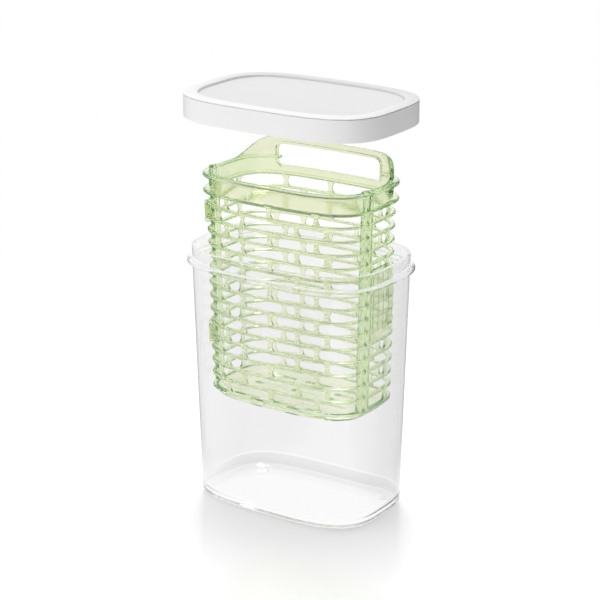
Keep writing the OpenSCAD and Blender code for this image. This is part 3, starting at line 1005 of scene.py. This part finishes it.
def height_tint(tree, stops):
    """Colour that runs up the piece through stops, each a height in millimetres and a colour."""
    place = tree.nodes.new("ShaderNodeTexCoord").outputs["Object"]
    share = tree.nodes.new("ShaderNodeMapRange")
    low, high = stops[0][0], stops[-1][0]
    share.inputs["From Min"].default_value, share.inputs["From Max"].default_value = low * MM, high * MM
    tint = tree.nodes.new("ShaderNodeValToRGB")
    elements = tint.color_ramp.elements
    elements[0].color, elements[1].color = (*stops[0][1], 1), (*stops[-1][1], 1)
    for height, colour in stops[1:-1]:
        elements.new((height - low) / (high - low)).color = (*colour, 1)
    feed(tree, share.inputs["Value"], measured(tree, place, (0, 0, 1)))
    feed(tree, tint.inputs["Fac"], share.outputs["Result"])
    return tint.outputs["Color"]


def see_through(name, tint, cloud, absorbed, bump, **surface):
    """Plastic that lets light through and takes some of it away. Its surface tint runs up the piece.
    The absorption per metre of red, green and blue is the density times one minus the absorption
    colour. A small share clouds the plastic and comes back from it."""
    material, shader = plastic(name, bump, **surface)
    tree = material.node_tree
    shader.inputs["Transmission Weight"].default_value = 1 - cloud
    shader.inputs["IOR"].default_value = PLASTIC_IOR
    feed(tree, shader.inputs["Base Color"], height_tint(tree, tint))
    volume = tree.nodes.new("ShaderNodeVolumeAbsorption")
    absorbed = np.asarray(absorbed, float)
    density = absorbed.max() * DENSITY_MARGIN
    volume.inputs["Density"].default_value = density
    volume.inputs["Color"].default_value = (*(1 - absorbed / density), 1)
    feed(tree, tree.nodes["Material Output"].inputs["Volume"], volume.outputs["Volume"])
    return material, shader


def second_tint(material, shader, stops, direction, reach, both_ways=False):
    """Second tint that takes over from the first as the place passes through a reach in a direction,
    or in both directions from the middle."""
    tree = material.node_tree
    place = tree.nodes.new("ShaderNodeTexCoord").outputs["Object"]
    far = measured(tree, place, direction)
    if both_ways:
        far = combine(tree, "ABSOLUTE", far)
    colour = shader.inputs["Base Color"]
    first, second = colour.links[0].from_socket, height_tint(tree, stops)
    feed(tree, colour, blend(tree, ramp(tree, far, reach, (0.0, 1.0)), first, second, "RGBA"))


def toned(material, shader, full):
    """Shade between black and a full grey, by the tone that is kept with the points of the mesh."""
    tree = material.node_tree
    tone = tree.nodes.new("ShaderNodeAttribute")
    tone.attribute_name = "tone"
    shade = blend(tree, tone.outputs["Fac"], (0, 0, 0, 1), (full, full, full, 1), "RGBA")
    feed(tree, shader.inputs["Base Color"], shade)


clear_plastic, clear_shader = see_through(
    "clear_plastic", CLEAR_STOPS, 0.0, CLEAR_ABSORBED, FINE_BUMP, roughness=0.02, variation=0.02)
# Towards the back the clear plastic takes over the painted shade and painted highlight line.
second_tint(clear_plastic, clear_shader, PAINTED_BACK_STOPS, (0, 1, 0), BACK_REACH)
green_plastic, green_shader = see_through(
    "green_plastic", GREEN_STOPS, GREEN_CLOUD, GREEN_ABSORBED, SATIN_BUMP, roughness=0.1, variation=0.05)
# Towards both ends the green plastic takes over the painted shade.
second_tint(green_plastic, green_shader, PAINTED_END_STOPS, (1, 0, 0), END_REACH, both_ways=True)
white_plastic, white_shader = plastic(
    "white_plastic", FINE_BUMP, roughness=0.36, variation=0.1, grain_share=0.7)
# The lid's tones carry painted highlight and painted shade.
toned(white_plastic, white_shader, FULL_WHITE)
print("materials", [m.name for m in (clear_plastic, green_plastic, white_plastic)])

# %% [markdown]
# ## Putting the pieces in place
# Each mesh is already in its place, so its object stays at the origin. Shading is smooth except over
# real creases, and each piece rides on the body that it is part of.

# %% Pieces
CREASE = math.radians(32)


def place_piece(mesh, material, body, node):
    """Object for a finished mesh, shaded, finished and tied to its body, with the CAD node it stands for
    hidden.
    """
    mesh.materials.clear()
    mesh.materials.append(material)
    mesh.shade_smooth()
    mesh.set_sharp_from_angle(angle=CREASE)
    piece = bpy.data.objects.new(mesh.name, mesh)
    bpy.context.scene.collection.objects.link(piece)
    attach(piece, body)
    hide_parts(node)
    return piece


pieces = [
    place_piece(container_mesh, clear_plastic, "container", "container"),
    place_piece(front_mesh, green_plastic, "basket", "basket_front"),
    place_piece(back_mesh, green_plastic, "basket", "basket_back"),
    place_piece(lid_mesh, white_plastic, "lid", "lid"),
]
for piece in pieces:
    piece.data.calc_loop_triangles()
    print(piece.name, len(piece.data.loop_triangles), "triangles")

# %% [markdown]
# ## Light
# A product shot on white. What the camera sees directly, what surfaces mirror and what light finds
# after it came through the plastic is a white room, or every edge that bends light would turn black.
# Surfaces are lit by a studio that is brightest low down and falls off overhead, to the right and to
# the back, so the lid's right end goes into shade. One long narrow lamp above and behind throws a
# soft shadow forward.

# %% World and lamp
AZIMUTH = math.radians(33.77)
view_right = (math.cos(AZIMUTH), math.sin(AZIMUTH), 0)
view_ahead = (-math.sin(AZIMUTH), math.cos(AZIMUTH), 0)
STUDIO_LEVELS = (1.6, 0.15)
STUDIO_RIGHT = 0.05
STUDIO_BACK = 0.5
LEVEL_REACH = (0.25, 0.9)
DARK_RIGHT_REACH = (0.42, 0.95)
DARK_BACK_REACH = (-0.3, 0.7)
LAMP_BACK = 0.7
LAMP_HEIGHT = 2.4
LAMP_SIZE = (0.5, 1.4)
LAMP_WATTS = 31


def studio_world():
    """White for the camera, for reflections and for light that came through plastic. Otherwise a
    studio: one level at the horizon and another overhead, times a fall to the right and a fall to
    the back."""
    world = bpy.data.worlds.new("studio")
    bpy.context.scene.world = world
    world.use_nodes = True
    tree = world.node_tree
    sky = tree.nodes.new("ShaderNodeTexCoord").outputs["Generated"]
    level = ramp(tree, measured(tree, sky, (0, 0, 1)), LEVEL_REACH, STUDIO_LEVELS)
    to_right = ramp(tree, measured(tree, sky, (1, 0, 0)), DARK_RIGHT_REACH, (1.0, STUDIO_RIGHT))
    to_back = ramp(tree, measured(tree, sky, view_ahead), DARK_BACK_REACH, (1.0, STUDIO_BACK))
    studio = combine(tree, "MULTIPLY", combine(tree, "MULTIPLY", level, to_right), to_back)
    path = tree.nodes.new("ShaderNodeLightPath").outputs
    white = combine(tree, "MAXIMUM", path["Is Camera Ray"], path["Is Transmission Ray"])
    white = combine(tree, "MAXIMUM", white, path["Is Glossy Ray"])
    feed(tree, tree.nodes["Background"].inputs["Color"], blend(tree, white, studio, 1.0))


def strip_lamp(name, place, turn, size, watts):
    """Rectangular area lamp that looks straight down, turned about the vertical, unseen itself."""
    data = bpy.data.lights.new(name, "AREA")
    data.shape = "RECTANGLE"
    data.size, data.size_y, data.energy = *size, watts
    lamp = bpy.data.objects.new(name, data)
    lamp.location = place
    lamp.rotation_euler = (0, 0, turn)
    lamp.visible_camera = False
    bpy.context.scene.collection.objects.link(lamp)


studio_world()
lamp_place = Vector(view_ahead) * LAMP_BACK + Vector((0, 0, LAMP_HEIGHT))
strip_lamp("overhead_lamp", lamp_place, AZIMUTH, LAMP_SIZE, LAMP_WATTS)
print("white world, and a lamp of", LAMP_WATTS, "W overhead")

# %% [markdown]
# The floor is white and glossy. Far from the keeper it gives its own white light, so it joins the
# sky with no line. Near the keeper the camera sees it as part its own light and part reflected
# light, so the shadow shows, under a thin gloss that mirrors the base. It lights the keeper less
# from the right, like the studio, and in reflections it is dark at both sides, which draws the clear
# walls in grey.

# %% Floor
FLOOR_HALF = 30.0
FLOOR_DROP = 0.00005
NEAR_REACH = (0.12, 0.55)
FLOOR_GLOW = 0.56
FLOOR_ALBEDO = 1.0
FLOOR_GLOSS = 0.3
FLOOR_ROUGHNESS = 0.16
RIGHT_REACH = (0.1, 0.5)
FLOOR_RIGHT = 0.7
SIDE_REACH = (0.07, 0.13)
FLOOR_SIDES = 0.1


def floor_material():
    """Plain glow, mixed near the keeper and for camera rays with glow plus diffuse plus gloss. For
    rays that only light the keeper the glow falls off to the right, and in reflections also to both
    sides of the middle."""
    material = bpy.data.materials.new("white_floor")
    material.use_nodes = True
    material.cycles.emission_sampling = "NONE"
    tree = material.node_tree
    nodes, link = tree.nodes, tree.links.new
    nodes.remove(nodes["Principled BSDF"])
    spot = nodes.new("ShaderNodeTexCoord").outputs["Object"]
    path = nodes.new("ShaderNodeLightPath").outputs
    away = nodes.new("ShaderNodeVectorMath")
    away.operation = "LENGTH"
    link(spot, away.inputs[0])
    near = ramp(tree, away.outputs["Value"], NEAR_REACH, (1.0, 0.0))
    seen = combine(tree, "MULTIPLY", near, path["Is Camera Ray"])
    plain = combine(tree, "MAXIMUM", path["Is Camera Ray"], path["Is Transmission Ray"])
    to_right = ramp(tree, measured(tree, spot, (1, 0, 0)), RIGHT_REACH, (1.0, FLOOR_RIGHT))
    aside = combine(tree, "ABSOLUTE", measured(tree, spot, view_right))
    to_sides = ramp(tree, aside, SIDE_REACH, (1.0, FLOOR_SIDES))
    shade = combine(tree, "MULTIPLY", to_right, blend(tree, path["Is Glossy Ray"], 1.0, to_sides))
    white, glow = nodes.new("ShaderNodeEmission"), nodes.new("ShaderNodeEmission")
    link(blend(tree, plain, shade, 1.0), white.inputs["Strength"])
    glow.inputs["Strength"].default_value = FLOOR_GLOW
    diffuse, gloss = nodes.new("ShaderNodeBsdfDiffuse"), nodes.new("ShaderNodeBsdfGlossy")
    diffuse.inputs["Color"].default_value = (FLOOR_ALBEDO, FLOOR_ALBEDO, FLOOR_ALBEDO, 1)
    gloss.inputs["Roughness"].default_value = FLOOR_ROUGHNESS
    lit = nodes.new("ShaderNodeAddShader")
    link(glow.outputs[0], lit.inputs[0])
    link(diffuse.outputs[0], lit.inputs[1])
    polished = nodes.new("ShaderNodeMixShader")
    polished.inputs["Fac"].default_value = FLOOR_GLOSS
    link(lit.outputs[0], polished.inputs[1])
    link(gloss.outputs[0], polished.inputs[2])
    whole = nodes.new("ShaderNodeMixShader")
    link(seen, whole.inputs["Fac"])
    link(white.outputs[0], whole.inputs[1])
    link(polished.outputs[0], whole.inputs[2])
    link(whole.outputs[0], nodes["Material Output"].inputs["Surface"])
    return material


floor_mesh = bpy.data.meshes.new("floor")
corners = FLOOR_HALF * np.array([[-1, -1, 0], [1, -1, 0], [1, 1, 0], [-1, 1, 0]])
floor_mesh.from_pydata((corners - [0, 0, FLOOR_DROP]).tolist(), [], [(0, 1, 2, 3)])
floor_mesh.materials.append(floor_material())
floor = bpy.data.objects.new("floor", floor_mesh)
bpy.context.scene.collection.objects.link(floor)
print("floor", 2 * FLOOR_HALF, "m across")

# %% [markdown]
# ## Camera
# The view was found by fitting the outlines of lid, rim and base: a long lens, from the right of the
# front and a little above. Light may bounce very often, because it meets two faces at every clear
# wall, rib and bar, and a path that is cut short leaves a black spot.

# %% Camera and render settings
ELEVATION = math.radians(18.48)
DISTANCE = 1430.0
TARGET_HEIGHT = 150.9
TARGET_RIGHT = -0.36
SENSOR = 36.0
LENS = 121.8
CLIP_END = 200.0
LIGHT_BOUNCES = 256
CLEAR_BOUNCES = 64

scene = bpy.context.scene
back = Vector((
    math.sin(AZIMUTH) * math.cos(ELEVATION),
    -math.cos(AZIMUTH) * math.cos(ELEVATION),
    math.sin(ELEVATION),
))
target = Vector((0, 0, TARGET_HEIGHT)) + Vector(view_right) * TARGET_RIGHT
lens = bpy.data.cameras.new("camera")
lens.sensor_width, lens.lens = SENSOR, LENS
lens.clip_end = CLIP_END
camera = bpy.data.objects.new("camera", lens)
camera.location = (target + back * DISTANCE) * MM
camera.rotation_euler = back.to_track_quat("Z", "Y").to_euler()
scene.collection.objects.link(camera)
scene.camera = camera
scene.view_settings.view_transform = "Standard"
scene.cycles.max_bounces = LIGHT_BOUNCES
scene.cycles.glossy_bounces = LIGHT_BOUNCES
scene.cycles.transmission_bounces = LIGHT_BOUNCES
scene.cycles.transparent_max_bounces = CLEAR_BOUNCES
scene.cycles.caustics_reflective = False
scene.cycles.caustics_refractive = False
print("camera", round(DISTANCE), "mm away, lens", LENS, "mm")
